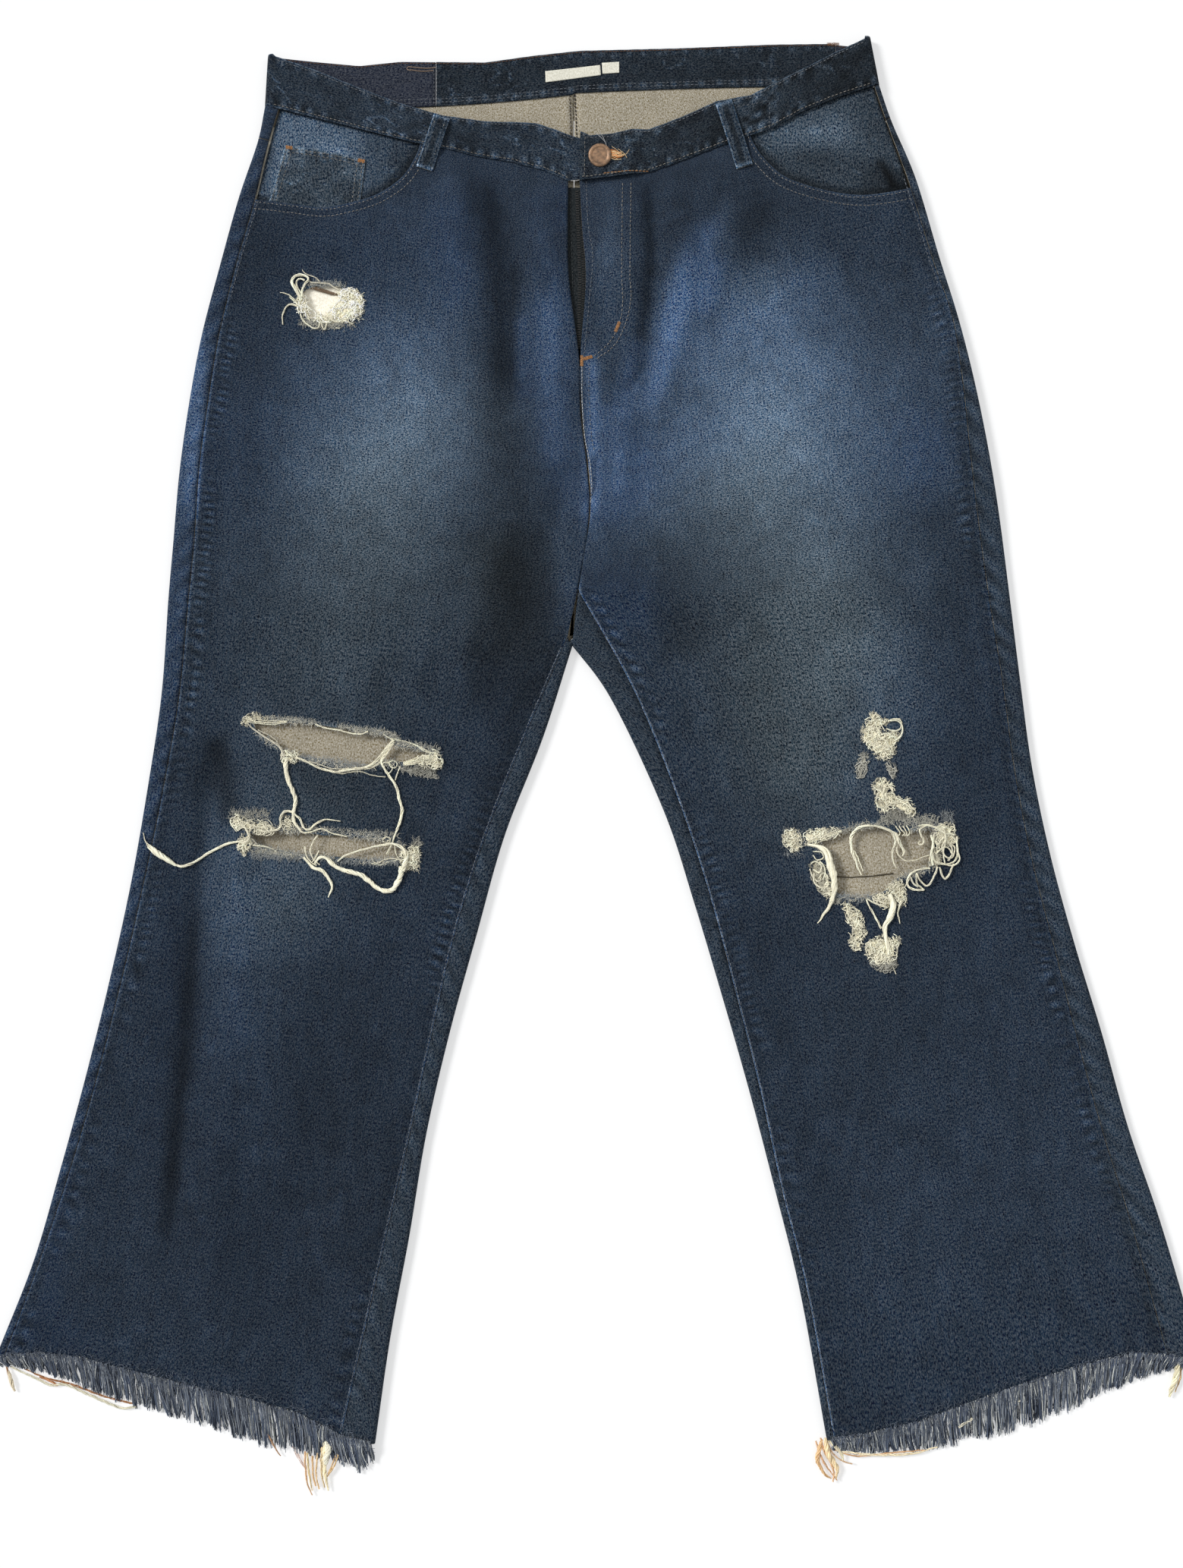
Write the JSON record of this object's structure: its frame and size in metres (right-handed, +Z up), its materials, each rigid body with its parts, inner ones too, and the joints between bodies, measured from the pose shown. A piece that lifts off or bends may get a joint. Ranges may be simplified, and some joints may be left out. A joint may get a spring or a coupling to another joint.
{
  "type": "ripped jeans",
  "caption": "Ripped dark blue jeans laid flat, front up: worn thighs, torn knees, a hole at the hip, flared legs and frayed hems.",
  "frame": {"origin": "middle of the laid garment's outline, on the surface it lies on", "axes": "+Y from the hems to the waist, +X to the wearer's left, +Z up, out of the front"},
  "size_m": [0.8834, 1.0466, 0.0132],
  "materials": {
    "denim": "dark indigo twill, faded on the thighs, hips and knees, grey-beige on its wrong side",
    "fray": "loose blue-grey yarn ends with a few cream ones",
    "pocketing": "off-white plain weave",
    "label": "cream woven tape, blank",
    "zip": "black zip tape with dull metal teeth",
    "copper": "brushed antique copper"
  },
  "bodies": {
    "root": {"front_right": "denim", "front_left": "denim", "back_right": "denim", "back_left": "denim", "yoke_right": "denim", "yoke_left": "denim", "waistband_back": "denim", "waistband_right": "denim", "waistband_left": "denim", "fly_shield": "denim", "zip_tape": "zip", "button": "copper", "loop_front_right": "denim", "loop_front_left": "denim", "loop_back_right": "denim", "loop_back_mid": "denim", "loop_back_left": "denim", "facing_right": "denim", "coin_pocket": "denim", "facing_left": "denim", "pocket_bag_right": "pocketing", "back_pocket_right": "denim", "back_pocket_left": "denim", "label_main": "label", "label_size": "label", "fringe_front_right": "fray", "fringe_back_right": "fray", "fringe_front_left": "fray", "fringe_back_left": "fray"}
  },
  "joints": []
}
